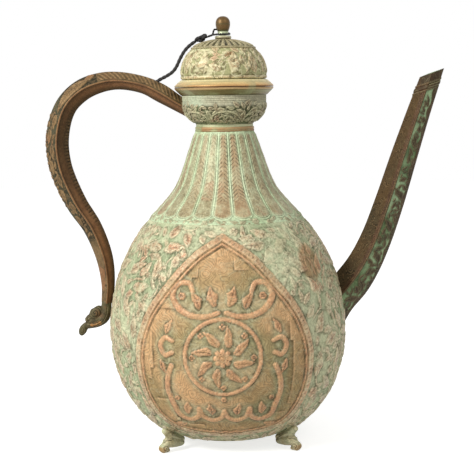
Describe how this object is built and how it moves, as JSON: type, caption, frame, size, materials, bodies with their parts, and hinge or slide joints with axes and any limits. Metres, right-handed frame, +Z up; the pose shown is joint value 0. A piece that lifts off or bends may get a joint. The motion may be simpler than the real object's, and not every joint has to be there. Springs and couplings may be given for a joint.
{
  "type": "lidded brass carafe",
  "caption": "Brass pouring jug with a round embossed body, fluted neck, domed lift-off lid on a cord, hollow handle, straight spout and scroll feet.",
  "frame": {"origin": "on the table, under the middle of the object's box; the body's own axis lies 15.8 mm towards the handle from it", "axes": "+Z up, +X towards the spout, -X towards the handle, -Y towards the panel shown in the picture"},
  "size_m": [0.319, 0.1896, 0.339],
  "materials": {
    "patina_brass": "embossed brass with pale green verdigris in the hollows",
    "pale_brass": "plain turned brass, worn bright",
    "dark_brass": "cast brass, dark brown",
    "knob_brass": "polished brown brass",
    "black_cord": "twisted black cotton cord"
  },
  "bodies": {
    "vessel": {"belly_lower": "patina_brass", "belly_upper": "patina_brass", "base_plate": "patina_brass", "neck_shell": "patina_brass", "neck_ring": "pale_brass", "collar_bowl": "patina_brass", "mouth_rim": "pale_brass", "handle": "dark_brass", "handle_scroll": "dark_brass", "spout": "dark_brass", "spout_band": "dark_brass", "foot_front_left": "dark_brass", "foot_front_right": "dark_brass", "foot_back_right": "dark_brass", "foot_back_left": "dark_brass", "tether_cord": "black_cord", "tether_stopper": "black_cord"},
    "tether_head": {"tether_loop": "black_cord", "tether_knot": "black_cord"},
    "lid": {"lid_sleeve": "pale_brass", "lid_rim": "pale_brass", "lid_dome": "patina_brass", "lid_cap": "patina_brass", "finial_base": "patina_brass", "finial_knob": "knob_brass", "finial_washer": "pale_brass"}
  },
  "joints": [
    {"name": "lid_lift", "type": "slide", "parent": "vessel", "child": "tether_head", "axis": [0, 0, 1], "range_m": [0, 0.014], "deforming": ["tether_cord"]},
    {"name": "lid_turn", "type": "hinge", "parent": "tether_head", "child": "lid", "pos_m": [-0.01582, 0, 0.29], "axis": [0, 0, 1], "continuous": true}
  ]
}
